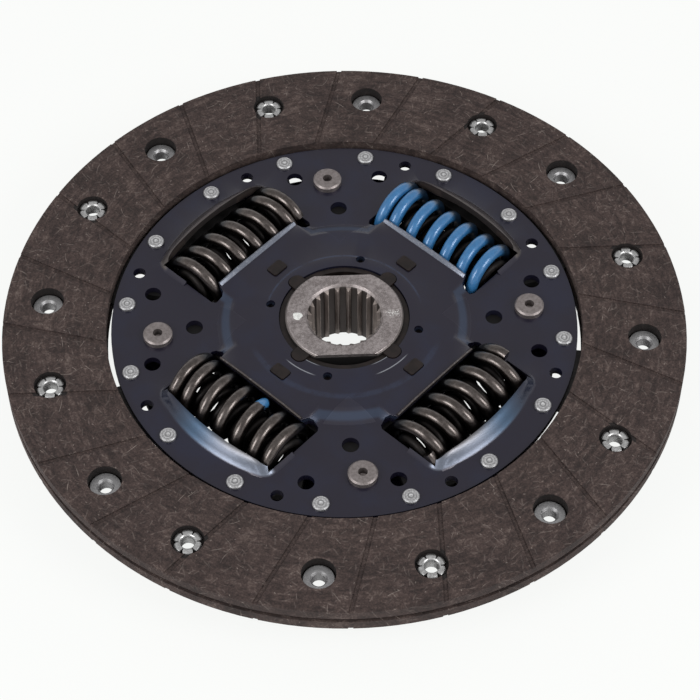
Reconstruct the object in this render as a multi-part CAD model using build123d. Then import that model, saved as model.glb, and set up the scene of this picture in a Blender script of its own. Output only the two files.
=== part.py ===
from build123d import *
import math
import os

# A dry clutch disc with a torsion damper.
# Millimetres, +Z along the hub towards the flywheel side.
# The origin is the centre of the hub's rear end face.

# Hub
HUB_LENGTH = 25.0
HUB_D = 37.25
HUB_ACROSS_FLATS = 31.6
HUB_FLAT_DEPTH = 5.4
HUB_EDGE_CHAMFER = 0.5
SPLINE_TEETH = 20
SPLINE_MAJOR_D = 23.4
SPLINE_MINOR_D = 20.8
SPLINE_GROOVE_SHARE = 0.50
SPLINE_FLANK_ANGLE = 26.0
BORE_LEAD_D = 24.8
BORE_LEAD_DEPTH = 0.6

# Hub flange, between the two damper plates
FLANGE_Z = 16.25
FLANGE_THICKNESS = 4.6
FLANGE_D = 131.8
FLANGE_SIDE_GAP = 0.2
NOTCH_FLOOR_R = 53.9
NOTCH_HALF_ANGLE = 14.3
FLANGE_WINDOW_GAP = 0.35
FLANGE_CORNER_R = 0.8

# Damper springs
SPRING_COUNT = 4
SPRING_FIRST_ANGLE = 45.0
SPRING_CIRCLE_R = 47.8
SPRING_LENGTH = 45.0
SPRING_END_PLAY = 0.1
SPRING_SIDE_GAP = 0.2
# each outer spring as it was dropped in, turned about its own axis
OUTER_SPRING_SPINS = (15.0, 180.0, 205.0, 85.0)
INNER_SPRING_SPIN = 0.0
OUTER_SPRING_D = 23.0
OUTER_WIRE_D = 3.8
OUTER_TURNS = 6.9
INNER_WIRE_D = 2.9
INNER_TURNS = 11.3
SPRING_NEST_GAP = 0.5
COIL_TOUCH_GAP = 0.08
END_GRIND = 0.9
COIL_STEPS_PER_TURN = 8
CLOSING_TURNS = 0.25

# Damper plates
PLATE_THICKNESS = 2.3
FRONT_PLATE_D = 147.0
REAR_PLATE_D = 134.0
PLATE_BORE_D = 41.2
DOME_HEIGHT = 2.65
DOME_TOP_R = 35.0
DOME_FOOT_R = 40.0
DOME_BEND_R = 2.0
BEAD_R = 24.3
BEAD_HEIGHT = 0.25
BEAD_SLOPE = 0.6

# Spring window in a plate: its inner lip on a raised land, its outer hood and corner reliefs
WINDOW_LIP_R = 38.4
WINDOW_LIP_HALF = 17.2
WINDOW_LIP_RISE = 1.4
WINDOW_LIP_RUN = 1.3
WINDOW_LIP_END_DROP = 0.5
WINDOW_LIP_EDGE = 0.45
LAND_INNER_R = 30.5
LAND_END_RUN = 8.0
WINDOW_CORNER_R = 34.9
WINDOW_CORNER_SIDE = 0.9
WINDOW_CORNER_WIDTH = 2.2
WINDOW_CORNER_CHAMFER = 0.8
WINDOW_OUTER_CORNER_R = 4.0
WINDOW_HOOD_EDGE = 0.9
HOOD_RISE = 4.05
HOOD_FOOT_R = 64.7
HOOD_FOOT_HALF = 23.8
HOOD_FOOT_DROP = 5.3
HOOD_CREST_R = 60.1
HOOD_CREST_HALF = 18.6
HOOD_CREST_DROP = 1.7
HOOD_CORNER_R = 3.5
HOOD_WALL = 1.9
# the hood's rounded flank: how far across from foot to crest, and how much of the rise
HOOD_FLANK = ((-0.2, -0.08), (0.12, 0.11), (0.6, 0.72), (0.86, 0.93), (1.1, 1.0))
HOOD_ROOM_HALF_ANGLE = 24.0

# Stop pins
PIN_CIRCLE_R = 58.8
PIN_OFFSET_ANGLE = 3.15
PIN_BODY_D = 8.6
PIN_SHANK_D = 6.6
PIN_HEAD_D = 9.2
PIN_HEAD_HEIGHT = 2.1
PIN_CHAMFER = 0.5
PIN_CENTRE_D = 3.0
PIN_CENTRE_DEPTH = 3.0

# Cushion segments
SEGMENT_COUNT = 8
SEGMENT_FIRST_ANGLE = 25.65
SEGMENT_THICKNESS = 0.7
SEGMENT_INNER_R = 66.5
SEGMENT_RIM_GAP = 2.0
SEGMENT_FOOT_R = 73.2
SEGMENT_NECK_R = 77.0
SEGMENT_FOOT_HALF_ANGLE = 14.3
SEGMENT_NECK_HALF_ANGLE = 9.6
SEGMENT_PAD_HALF_ANGLE = 20.9
SEGMENT_BEND_START = 74.5
SEGMENT_BEND_END = 79.5
SEGMENT_CREST_HALF = 13.0
SEGMENT_OVERLAP = 1.0

# Friction facings
FACING_D = 215.0
FACING_BORE_D = 150.0
FACING_THICKNESS = 3.5
CUSHION_GAP = 1.85
GROOVE_COUNT = 24
GROOVE_WIDTH = 1.5
GROOVE_DEPTH = 0.45
GROOVE_OFFSET = 25.4
GROOVE_OVERRUN = 3.0

# Facing rivets: the head lies on the segment, the clenched end in its facing's counterbore.
# Those of the front facing and those of the rear facing alternate.
FACING_RIVET_OUTSET = 3.15
FRONT_CLENCH_ANGLE = -12.25
REAR_CLENCH_ANGLE = 12.5
FACING_RIVET_HEAD_D = 9.8
FACING_RIVET_HEAD_HEIGHT = 1.6
FACING_RIVET_HEAD_ROUND = 0.3
FACING_RIVET_SHANK_D = 5.2
FACING_RIVET_BORE_D = 4.2
FUNNEL_D = 5.5
FUNNEL_DEPTH = 0.75
CLENCH_D = 9.1
CLENCH_HEIGHT = 1.1
CLENCH_CROWN_D = 6.4
CLENCH_EDGE = 0.25
PETAL_COUNT = 6
PETAL_WIDTH = 3.0
PETAL_CORNER_R = 1.2
PETAL_ROOT_D = 5.5
COUNTERBORE_D = 10.1
COUNTERBORE_DEPTH = 2.1
CLEARANCE_HOLE_D = 10.5

# Plate rivets, two for each segment
PLATE_RIVET_CIRCLE_R = 69.27
PLATE_RIVET_HALF_ANGLE = 11.25
PLATE_RIVET_SHANK_D = 3.8
PLATE_RIVET_HEAD_D = 5.2
PLATE_RIVET_HEAD_HEIGHT = 1.05
PLATE_RIVET_DIMPLE_D = 1.3
PLATE_RIVET_DIMPLE_DEPTH = 0.25
PLATE_RIVET_CHAMFER = 0.3

# Holes in the plates
RIM_HOLE_D = 4.0
RIM_HOLE_R = 68.7
SPOKE_HOLE_D = 5.2
SPOKE_HOLE_R = 62.0
SPOKE_HOLE_ANGLE = 13.0
GAUGE_HOLE_D = 5.4
GAUGE_HOLE_R = 47.3
COLLAR_HOLE_D = 2.9
COLLAR_HOLE_R = 23.85
COLLAR_HOLE_ANGLE = 75.2

# Front bush, friction washers, thrust plate and disc spring
RUNNING_GAP = 0.06
ASSEMBLY_GAP = 0.05
BUSH_COLLAR_D = 40.8
COLLAR_SUNK = 0.4
TAB_PROUD = 0.55
BUSH_LOBE_R = 22.9
BUSH_LOBE_WIDTH = 5.0
BUSH_LOBE_CORNER_R = 2.2
LOBE_SIDE_GAP = 0.25
TAB_R = 29.2
TAB_WIDTH = 5.6
TAB_DEPTH = 3.9
TAB_SIDE_GAP = 0.12
TAB_CORNER_R = 0.7
WASHER_D = 66.0
WASHER_THICKNESS = 1.2
THRUST_PLATE_THICKNESS = 0.8
DISC_SPRING_D = 53.0
DISC_SPRING_BORE_D = 43.0
DISC_SPRING_THICKNESS = 0.45

HOLE_GAP = 0.05
CUT = 40.0
OVERLAP = 1.0

hub_r = HUB_D / 2
flange_front = FLANGE_Z + FLANGE_THICKNESS / 2
flange_rear = FLANGE_Z - FLANGE_THICKNESS / 2
plate_back = flange_front + FLANGE_SIDE_GAP
plate_face = plate_back + PLATE_THICKNESS
dome_back = plate_back + DOME_HEIGHT
dome_face = plate_face + DOME_HEIGHT
cushion_z = plate_back - SEGMENT_THICKNESS / 2
facing_r = FACING_D / 2
facing_bore_r = FACING_BORE_D / 2
facing_rivet_r = (facing_r + facing_bore_r) / 2 + FACING_RIVET_OUTSET
segment_outer_r = facing_r - SEGMENT_RIM_GAP
window_half = SPRING_LENGTH / 2 + SPRING_END_PLAY
wave = (CUSHION_GAP - SEGMENT_THICKNESS) / 2
spring_angles = [SPRING_FIRST_ANGLE + 360 / SPRING_COUNT * k for k in range(SPRING_COUNT)]
spoke_angles = [angle - SPRING_FIRST_ANGLE for angle in spring_angles]
segment_angles = [SEGMENT_FIRST_ANGLE + 360 / SEGMENT_COUNT * k for k in range(SEGMENT_COUNT)]


def polar(radius, angle, z=0.0):
    """A place on a circle round the hub's axis."""
    turn = math.radians(angle)
    return Pos(radius * math.cos(turn), radius * math.sin(turn), z)


def turned(shape, angle):
    """A shape drawn on +Y, turned to stand at the given azimuth."""
    return Rot(0, 0, angle - 90) * shape


def ring(outer_d, inner_d, low, high):
    """A flat ring round the hub's axis."""
    height = high - low
    body = Cylinder(outer_d / 2, height) - Cylinder(inner_d / 2, height)
    return Pos(0, 0, (low + high) / 2) * body


def bar(diameter, low, high):
    """A round bar along Z."""
    return Pos(0, 0, (low + high) / 2) * Cylinder(diameter / 2, high - low)


def spun(points):
    """A closed outline of (radius, z) points spun round Z."""
    outline = Plane.XZ * make_face(Polyline(*points, close=True))
    return revolve(outline, Axis.Z)


def sector(inner_r, outer_r, half_angle):
    """A flat ring sector, centred on +Y."""
    def at(radius, angle):
        turn = math.radians(90 + angle)
        return (radius * math.cos(turn), radius * math.sin(turn))

    edge = ThreePointArc(at(outer_r, -half_angle), at(outer_r, 0), at(outer_r, half_angle))
    edge += Line(at(outer_r, half_angle), at(inner_r, half_angle))
    edge += ThreePointArc(at(inner_r, half_angle), at(inner_r, 0), at(inner_r, -half_angle))
    edge += Line(at(inner_r, -half_angle), at(outer_r, -half_angle))
    return make_face(edge)


def slab(face, low, high):
    """A flat face made solid between two heights."""
    return extrude(Pos(0, 0, low) * face, high - low)


def mirrored_outline(half, crown):
    """An outline symmetric about Y: a half outline, its mirror image, and an arc over the top."""
    left = [(-x, y) for x, y in reversed(half)]
    edge = Polyline(*left, *half)
    return make_face(edge + ThreePointArc(half[-1], (0, crown), left[0]))


def through_hole(diameter):
    """A cutter along Z, longer than the disc is thick."""
    return Cylinder(diameter / 2, 2 * CUT)


def at_window(shape):
    """The shape, turned to each spring window."""
    return [turned(shape, angle) for angle in spring_angles]


def spring_space(gap):
    """The room that one damper spring takes, on +Y, with a gap round it."""
    space = Cylinder(OUTER_SPRING_D / 2 + gap, 2 * window_half)
    return Pos(0, SPRING_CIRCLE_R, FLANGE_Z) * Rot(0, 90, 0) * space


def window_land(inset, low, high):
    """The dome's level carried out to a window's lip, its ends sloping down to the flat."""
    depth = WINDOW_LIP_R - LAND_INNER_R
    centre_y = (WINDOW_LIP_R + LAND_INNER_R) / 2
    foot_half = WINDOW_LIP_HALF + LAND_END_RUN - inset
    top_half = WINDOW_LIP_HALF - inset
    foot = Pos(0, centre_y, low) * Rectangle(2 * foot_half, depth)
    top = Pos(0, centre_y, high) * Rectangle(2 * top_half, depth)
    return loft([foot, top], ruled=True)


def window_lip():
    """The turned-up inner edge of a window, which rises from the land towards the spring."""
    foot_y = WINDOW_LIP_R - WINDOW_LIP_RUN
    crest_z = dome_face + WINDOW_LIP_RISE

    def section(x, drop):
        top = crest_z - drop
        points = [
            (x, foot_y, dome_face),
            (x, WINDOW_LIP_R - WINDOW_LIP_EDGE, top),
            (x, WINDOW_LIP_R, top - WINDOW_LIP_EDGE / 3),
            (x, WINDOW_LIP_R, dome_back),
            (x, foot_y, dome_back),
        ]
        return make_face(Polyline(*points, close=True))

    ends = [(-1.0, WINDOW_LIP_END_DROP), (-0.5, 0), (0.5, 0), (1.0, WINDOW_LIP_END_DROP)]
    return loft([section(share * WINDOW_LIP_HALF, drop) for share, drop in ends], ruled=True)


def hood_outline(share, inset=0.0):
    """A hood's outline at its foot (share 0), at its crest (share 1) or between them."""
    reach = HOOD_FOOT_R + share * (HOOD_CREST_R - HOOD_FOOT_R) - inset
    half = HOOD_FOOT_HALF + share * (HOOD_CREST_HALF - HOOD_FOOT_HALF) - inset
    drop = HOOD_FOOT_DROP + share * (HOOD_CREST_DROP - HOOD_FOOT_DROP)
    outline = mirrored_outline([(half, SPRING_CIRCLE_R), (half, reach - drop)], reach)
    corners = outline.vertices().sort_by(Axis.Y)[-2:]
    return fillet(corners, HOOD_CORNER_R)


def hood():
    """The flared outer edge of a window, before its opening is cut."""
    levels = [Pos(0, 0, plate_face + rise * HOOD_RISE) * hood_outline(share) for share, rise in HOOD_FLANK]
    return loft(levels, ruled=True)


def hood_hollow():
    """The space under a hood, open below."""
    low = Pos(0, 0, plate_back) * hood_outline(0, HOOD_WALL)
    high = Pos(0, 0, plate_face + HOOD_RISE) * hood_outline(1, HOOD_WALL)
    return loft([low, high], ruled=True)


def window_opening():
    """The pierced opening of a window: lip, corner reliefs, end edges and hood crest."""
    corner = WINDOW_CORNER_R
    bevel = WINDOW_CORNER_CHAMFER
    half = [
        (WINDOW_LIP_HALF, WINDOW_LIP_R),
        (WINDOW_LIP_HALF + WINDOW_CORNER_SIDE, corner + bevel),
        (WINDOW_LIP_HALF + WINDOW_CORNER_WIDTH, corner),
        (window_half - bevel, corner + bevel / 2),
        (window_half, corner + 2 * bevel),
        (window_half, HOOD_CREST_R - HOOD_CREST_DROP - WINDOW_HOOD_EDGE),
    ]
    outline = mirrored_outline(half, HOOD_CREST_R)
    corners = outline.vertices().filter_by_position(Axis.Y, SPRING_CIRCLE_R, HOOD_CREST_R)
    outline = fillet(corners, WINDOW_OUTER_CORNER_R)
    return slab(outline, plate_back - OVERLAP, plate_face + HOOD_RISE + OVERLAP)


def damper_plate(outer_d):
    """A domed plate with four lipped and hooded spring windows and its stop pin holes."""
    bend = PLATE_THICKNESS * math.tan(math.atan2(DOME_HEIGHT, DOME_FOOT_R - DOME_TOP_R) / 2)
    bore = PLATE_BORE_D / 2
    disc = spun([
        (bore, dome_back),
        (DOME_TOP_R - bend, dome_back),
        (DOME_FOOT_R - bend, plate_back),
        (outer_d / 2, plate_back),
        (outer_d / 2, plate_face),
        (DOME_FOOT_R, plate_face),
        (DOME_TOP_R, dome_face),
        (BEAD_R + BEAD_SLOPE, dome_face),
        (BEAD_R, dome_face + BEAD_HEIGHT),
        (bore, dome_face + BEAD_HEIGHT),
    ])
    circles = disc.edges().filter_by(GeomType.CIRCLE)
    bends = [e for e in circles if DOME_TOP_R - bend - HOLE_GAP < e.radius < DOME_FOOT_R + HOLE_GAP]
    disc = fillet(bends, DOME_BEND_R)
    under_land = window_land(PLATE_THICKNESS, plate_back - OVERLAP, dome_back)
    land = window_land(0, plate_back, dome_face) - under_land
    disc -= at_window(under_land)
    disc += at_window(land + window_lip()) + at_window(hood() - hood_hollow())
    disc -= at_window(window_opening())
    disc -= at_window(spring_space(SPRING_SIDE_GAP))
    room = sector(SPRING_CIRCLE_R, HOOD_FOOT_R, HOOD_ROOM_HALF_ANGLE)
    disc -= at_window(hood_hollow() & slab(room, plate_back - OVERLAP, plate_face))
    for angle in spoke_angles:
        disc -= polar(PIN_CIRCLE_R, angle + PIN_OFFSET_ANGLE) * through_hole(PIN_SHANK_D + 2 * HOLE_GAP)
        disc -= polar(GAUGE_HOLE_R, angle) * through_hole(GAUGE_HOLE_D)
    return disc


def tab(grow):
    """One bush tab's plan outline on +Y, grown all round."""
    outline = RectangleRounded(TAB_WIDTH + 2 * grow, TAB_DEPTH + 2 * grow, TAB_CORNER_R)
    return Pos(0, TAB_R) * outline


def lobe(grow):
    """One bush lobe's plan outline on +Y, grown to its sides and outwards."""
    width = BUSH_LOBE_WIDTH + 2 * grow
    length = BUSH_LOBE_R + grow - hub_r
    outline = RectangleRounded(width, 2 * length, BUSH_LOBE_CORNER_R + grow)
    return Pos(0, hub_r) * outline


def front_plate():
    """The front damper plate, which carries the cushion segments."""
    plate = damper_plate(FRONT_PLATE_D)
    for angle in spring_angles:
        plate -= turned(slab(tab(TAB_SIDE_GAP), 0, CUT), angle)
        plate -= turned(slab(lobe(LOBE_SIDE_GAP), 0, CUT), angle)
    for angle in spoke_angles:
        plate -= polar(COLLAR_HOLE_R, angle + COLLAR_HOLE_ANGLE) * through_hole(COLLAR_HOLE_D)
        plate -= polar(SPOKE_HOLE_R, angle - SPOKE_HOLE_ANGLE) * through_hole(SPOKE_HOLE_D)
        plate -= polar(SPOKE_HOLE_R, angle + SPOKE_HOLE_ANGLE) * through_hole(SPOKE_HOLE_D)
    for angle in segment_angles:
        plate -= polar(RIM_HOLE_R, angle) * through_hole(RIM_HOLE_D)
    return plate - plate_rivet_holes()


def rear_plate():
    """The rear damper plate, the front one's partner, held to it by the stop pins."""
    plate = damper_plate(REAR_PLATE_D)
    for angle in spring_angles:
        plate -= turned(slab(tab(TAB_SIDE_GAP), 0, CUT), angle)
    return mirror(plate, about=Plane.XY.offset(FLANGE_Z))


def plate_rivet_places():
    """The azimuths of the plate rivets."""
    return [angle + side * PLATE_RIVET_HALF_ANGLE for angle in segment_angles for side in (-1, 1)]


def plate_rivet_holes():
    """Holes for all plate rivets."""
    hole = through_hole(PLATE_RIVET_SHANK_D + 2 * HOLE_GAP)
    return [polar(PLATE_RIVET_CIRCLE_R, angle) * hole for angle in plate_rivet_places()]


def spline_grooves():
    """The grooves between the hub's splines, through its whole length."""
    pitch = math.pi * SPLINE_MAJOR_D / SPLINE_TEETH
    foot = pitch * SPLINE_GROOVE_SHARE / 2
    depth = (SPLINE_MAJOR_D - SPLINE_MINOR_D) / 2
    mouth = foot + depth * math.tan(math.radians(SPLINE_FLANK_ANGLE))
    foot_r = math.sqrt((SPLINE_MAJOR_D / 2) ** 2 - foot**2)
    inner_r = SPLINE_MINOR_D / 2 - OVERLAP
    mouth_r = SPLINE_MINOR_D / 2 - OVERLAP / 10
    side = [(inner_r, mouth), (mouth_r, mouth), (foot_r, foot)]
    edge = Polyline(*[(x, -y) for x, y in reversed(side)], *side)
    edge += ThreePointArc((foot_r, foot), (SPLINE_MAJOR_D / 2, 0), (foot_r, -foot))
    groove = slab(make_face(edge), -OVERLAP, HUB_LENGTH + OVERLAP)
    return [Rot(0, 0, 360 / SPLINE_TEETH * k) * groove for k in range(SPLINE_TEETH)]


def hub():
    """The splined hub and its flange, one forging."""
    c = HUB_EDGE_CHAMFER
    flange_r = FLANGE_D / 2
    body = spun([
        (0, 0),
        (hub_r - c, 0),
        (hub_r, c),
        (hub_r, flange_rear),
        (flange_r, flange_rear),
        (flange_r, flange_front),
        (hub_r, flange_front),
        (hub_r, HUB_LENGTH - c),
        (hub_r - c, HUB_LENGTH),
        (0, HUB_LENGTH),
    ])
    lead = BORE_LEAD_D / 2
    inner = SPLINE_MINOR_D / 2
    slope = BORE_LEAD_DEPTH / (BORE_LEAD_D - SPLINE_MAJOR_D) * 2
    deep = (lead - inner) * slope
    body -= spun([
        (0, -OVERLAP),
        (lead, -OVERLAP),
        (lead, 0),
        (inner, deep),
        (inner, HUB_LENGTH - deep),
        (lead, HUB_LENGTH),
        (lead, HUB_LENGTH + OVERLAP),
        (0, HUB_LENGTH + OVERLAP),
    ])
    body -= spline_grooves()
    flat = Box(HUB_D, HUB_D, HUB_FLAT_DEPTH * 2)
    for side in (-1, 1):
        body -= Pos(0, side * (HUB_ACROSS_FLATS + HUB_D) / 2, HUB_LENGTH) * flat
    outer_edge = SPRING_CIRCLE_R + OUTER_SPRING_D / 2 + FLANGE_WINDOW_GAP
    inner_edge = SPRING_CIRCLE_R - OUTER_SPRING_D / 2 - FLANGE_WINDOW_GAP
    window = Rectangle(2 * window_half, outer_edge - inner_edge)
    window = fillet(window.vertices(), FLANGE_CORNER_R)
    window = Pos(0, (outer_edge + inner_edge) / 2) * window
    body -= at_window(slab(window, flange_rear - OVERLAP, flange_front + OVERLAP))
    mouth = sector(NOTCH_FLOOR_R, flange_r + OVERLAP, NOTCH_HALF_ANGLE)
    notch = slab(mouth, flange_rear - OVERLAP, flange_front + OVERLAP)
    body -= [turned(notch, angle) for angle in spoke_angles]
    return body


def coil_spring(outer_d, wire_d, turns, hand):
    """A compression spring along X, with closed and ground ends."""
    coil_r = (outer_d - wire_d) / 2
    closed_pitch = wire_d + COIL_TOUCH_GAP
    run = SPRING_LENGTH - wire_d + 2 * END_GRIND
    open_pitch = (run - 2 * closed_pitch) / (turns - 2)

    def advance(turn):
        if turn <= 1:
            return closed_pitch * turn
        if turn >= turns - 1:
            return run - closed_pitch * (turns - turn)
        return closed_pitch + open_pitch * (turn - 1)

    count = round(turns * COIL_STEPS_PER_TURN)
    # the pitch changes over part of a turn, not at a corner
    blend = [CLOSING_TURNS * share for share in (-0.5, -0.25, 0, 0.25, 0.5)]
    points = []
    for k in range(count + 1):
        turn = turns * k / count
        along = sum(advance(min(max(turn + shift, 0), turns)) for shift in blend) / len(blend)
        a = hand * 2 * math.pi * turn
        points.append((along - run / 2, coil_r * math.cos(a), coil_r * math.sin(a)))
    path = Spline(*points)
    section = Plane(origin=path @ 0, z_dir=path % 0) * Circle(wire_d / 2)
    coil = sweep(section, path)
    coil &= Box(SPRING_LENGTH, 2 * outer_d, 2 * outer_d)
    return coil


def seated(coil, spin, angle):
    """A coil spring, turned about its own axis, in its window at the given azimuth."""
    return turned(Pos(0, SPRING_CIRCLE_R, FLANGE_Z) * Rot(spin, 0, 0) * coil, angle)


def stop_pin():
    """A shouldered pin that ties the plates and stops the flange, centred on z = 0."""
    shoulder = FLANGE_THICKNESS / 2 + FLANGE_SIDE_GAP
    outside = shoulder + PLATE_THICKNESS
    end = outside + PIN_HEAD_HEIGHT
    half = [
        (PIN_HEAD_D / 2, outside),
        (PIN_HEAD_D / 2, end - PIN_CHAMFER),
        (PIN_HEAD_D / 2 - PIN_CHAMFER, end),
        (PIN_CENTRE_D / 2, end),
        (PIN_CENTRE_D / 2, end - PIN_CENTRE_DEPTH),
        (0, end - PIN_CENTRE_DEPTH - PIN_CENTRE_D / 4),
    ]
    stem = [(PIN_BODY_D / 2, shoulder), (PIN_SHANK_D / 2, shoulder), (PIN_SHANK_D / 2, outside)]
    front = stem + half
    rear = [(r, -z) for r, z in reversed(front)]
    return spun(rear + front)


def facing_rivet(grip):
    """A tubular rivet along Z: head seat at z = 0, head above, clenched petals below the grip."""
    bore = FACING_RIVET_BORE_D / 2
    shank = FACING_RIVET_SHANK_D / 2
    head = FACING_RIVET_HEAD_D / 2
    top = FACING_RIVET_HEAD_HEIGHT
    tube = spun([
        (bore, -grip),
        (shank, -grip),
        (shank, 0),
        (head, 0),
        (head, top - FACING_RIVET_HEAD_ROUND),
        (head - FACING_RIVET_HEAD_ROUND, top),
        (FUNNEL_D / 2, top),
        (bore, top - FUNNEL_DEPTH),
    ])
    rim = CLENCH_D / 2
    crown = CLENCH_CROWN_D / 2
    throat_z = -grip - CLENCH_HEIGHT / 3
    crown_z = -grip - CLENCH_HEIGHT
    edge_z = -grip - CLENCH_EDGE
    flare_middle = ((bore + crown) / 2 - CLENCH_EDGE, crown_z + CLENCH_EDGE)
    curl_middle = (rim - CLENCH_EDGE, (crown_z + edge_z) / 2)
    outline = Polyline((rim, edge_z), (rim - CLENCH_EDGE, -grip), (bore, -grip), (bore, throat_z))
    outline += ThreePointArc((bore, throat_z), flare_middle, (crown, crown_z))
    outline += ThreePointArc((crown, crown_z), curl_middle, (rim, edge_z))
    petals = revolve(Plane.XZ * make_face(outline), Axis.Z)
    length = rim - bore
    petal = Pos(bore + length / 2, 0) * RectangleRounded(length, PETAL_WIDTH, PETAL_CORNER_R)
    plan = Circle(PETAL_ROOT_D / 2)
    plan += [Rot(0, 0, 360 / PETAL_COUNT * (k + 0.5)) * petal for k in range(PETAL_COUNT)]
    return tube + (petals & slab(plan, crown_z - OVERLAP, -grip))


def plate_rivet():
    """A solid rivet with a head at each end, z = 0 on the plate's face."""
    head = PLATE_RIVET_HEAD_D / 2
    top = PLATE_RIVET_HEAD_HEIGHT
    shank = PLATE_RIVET_SHANK_D / 2
    grip = PLATE_THICKNESS + SEGMENT_THICKNESS
    dimple = PLATE_RIVET_DIMPLE_D / 2
    chamfer = PLATE_RIVET_CHAMFER
    return spun([
        (0, top - PLATE_RIVET_DIMPLE_DEPTH),
        (dimple, top),
        (head - chamfer, top),
        (head, top - chamfer),
        (head, 0),
        (shank, 0),
        (shank, -grip),
        (head, -grip),
        (head, -grip - top + chamfer),
        (head - chamfer, -grip - top),
        (0, -grip - top),
    ])


def cushion_segment():
    """One waved spring-steel segment on +Y: flat feet, narrow neck, wide waved pad."""
    half = SEGMENT_THICKNESS / 2
    wide = segment_outer_r

    def strip(y, rise):
        centre = [(-wide, -rise), (-SEGMENT_CREST_HALF, -rise), (SEGMENT_CREST_HALF, rise), (wide, rise)]
        under = [(x, y, cushion_z + z - half) for x, z in centre]
        over = [(x, y, cushion_z + z + half) for x, z in reversed(centre)]
        return make_face(Polyline(*under, *over, close=True))

    root_plan = Pos(0, SEGMENT_BEND_START / 2) * Rectangle(2 * wide, SEGMENT_BEND_START)
    root = slab(root_plan, cushion_z - half, cushion_z + half)
    bend = loft([strip(SEGMENT_BEND_START, 0), strip(SEGMENT_BEND_END, wave)], ruled=True)
    pad = extrude(strip(SEGMENT_BEND_END, wave), amount=wide - SEGMENT_BEND_END, dir=(0, 1, 0))
    plan = sector(SEGMENT_INNER_R, SEGMENT_FOOT_R, SEGMENT_FOOT_HALF_ANGLE)
    lap = SEGMENT_OVERLAP
    plan += sector(SEGMENT_FOOT_R - lap, SEGMENT_NECK_R + lap, SEGMENT_NECK_HALF_ANGLE)
    plan += sector(SEGMENT_NECK_R, segment_outer_r, SEGMENT_PAD_HALF_ANGLE)
    sheet = (root + bend + pad) & slab(plan, cushion_z - CUSHION_GAP, cushion_z + CUSHION_GAP)
    rivet_hole = through_hole(PLATE_RIVET_SHANK_D + 2 * HOLE_GAP)
    for side in (-1, 1):
        sheet -= polar(PLATE_RIVET_CIRCLE_R, 90 + side * PLATE_RIVET_HALF_ANGLE) * rivet_hole
    sheet -= polar(RIM_HOLE_R, 90) * through_hole(RIM_HOLE_D)
    for angle in (FRONT_CLENCH_ANGLE, REAR_CLENCH_ANGLE):
        sheet -= polar(facing_rivet_r, 90 + angle) * through_hole(FACING_RIVET_SHANK_D + 2 * HOLE_GAP)
    return sheet


def facing(side, clench_angle, head_angle):
    """A friction facing: side is 1 for the front one and -1 for the rear one."""
    back = cushion_z + side * CUSHION_GAP / 2
    face = back + side * FACING_THICKNESS
    body = ring(FACING_D, FACING_BORE_D, min(back, face), max(back, face))
    start = math.sqrt(facing_bore_r**2 - GROOVE_OFFSET**2) - GROOVE_OVERRUN
    groove = Box(facing_r - start, GROOVE_WIDTH, 2 * GROOVE_DEPTH)
    place = Pos((facing_r + start) / 2, GROOVE_OFFSET, face)
    body -= [Rot(0, 0, 360 / GROOVE_COUNT * k) * place * groove for k in range(GROOVE_COUNT)]
    counterbore = Cylinder(COUNTERBORE_D / 2, 2 * COUNTERBORE_DEPTH)
    shank_hole = through_hole(FACING_RIVET_SHANK_D + 2 * HOLE_GAP)
    for angle in segment_angles:
        body -= polar(facing_rivet_r, angle + clench_angle) * shank_hole
        body -= polar(facing_rivet_r, angle + clench_angle, face) * counterbore
        body -= polar(facing_rivet_r, angle + head_angle) * through_hole(CLEARANCE_HOLE_D)
    return body


def facing_rivets(side, clench_angle):
    """The rivets of one facing: side is 1 for the front one and -1 for the rear one."""
    floor = FACING_THICKNESS - COUNTERBORE_DEPTH
    rivet = facing_rivet(floor + SEGMENT_THICKNESS)
    if side > 0:
        rivet = Rot(180, 0, 0) * rivet
    seat = cushion_z + side * (CUSHION_GAP / 2 - SEGMENT_THICKNESS)
    places = [polar(facing_rivet_r, angle + clench_angle, seat) for angle in segment_angles]
    return Compound(children=[place * rivet for place in places])


def front_bush():
    """The plastic bush that centres the front plate: collar, lobes, ring and tabs."""
    top = dome_face - COLLAR_SUNK
    proud = dome_face + TAB_PROUD
    ring_low = flange_front + ASSEMBLY_GAP + WASHER_THICKNESS
    bore_d = HUB_D + 2 * RUNNING_GAP
    bush = ring(BUSH_COLLAR_D, bore_d, flange_front + ASSEMBLY_GAP, top)
    bush += ring(WASHER_D, bore_d, ring_low, dome_back - ASSEMBLY_GAP)
    for angle in spring_angles:
        bush += turned(slab(tab(0), ring_low, proud), angle)
        bush += turned(slab(lobe(0), ring_low, proud), angle)
    return bush - bar(bore_d, 0, CUT)


def friction_washer():
    """The front friction washer, between the hub flange and the bush."""
    low = flange_front + ASSEMBLY_GAP
    return ring(WASHER_D, BUSH_COLLAR_D + 2 * HOLE_GAP, low, low + WASHER_THICKNESS)


def rear_friction_ring():
    """The rear friction ring, with a collar that centres the rear plate."""
    high = flange_rear - ASSEMBLY_GAP
    bore_d = HUB_D + 2 * RUNNING_GAP
    collar_end = 2 * FLANGE_Z - dome_face + COLLAR_SUNK
    flat_ring = ring(WASHER_D, bore_d, high - WASHER_THICKNESS, high)
    return flat_ring + ring(BUSH_COLLAR_D, bore_d, collar_end, high)


def thrust_plate():
    """The steel thrust plate of the friction pack, keyed to the rear plate by four tabs."""
    high = flange_rear - ASSEMBLY_GAP - WASHER_THICKNESS
    low = high - THRUST_PLATE_THICKNESS
    plate = ring(WASHER_D, BUSH_COLLAR_D + 2 * HOLE_GAP, low, high)
    for angle in spring_angles:
        plate += turned(slab(tab(0), 2 * FLANGE_Z - dome_face + COLLAR_SUNK, high), angle)
    return plate


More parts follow.
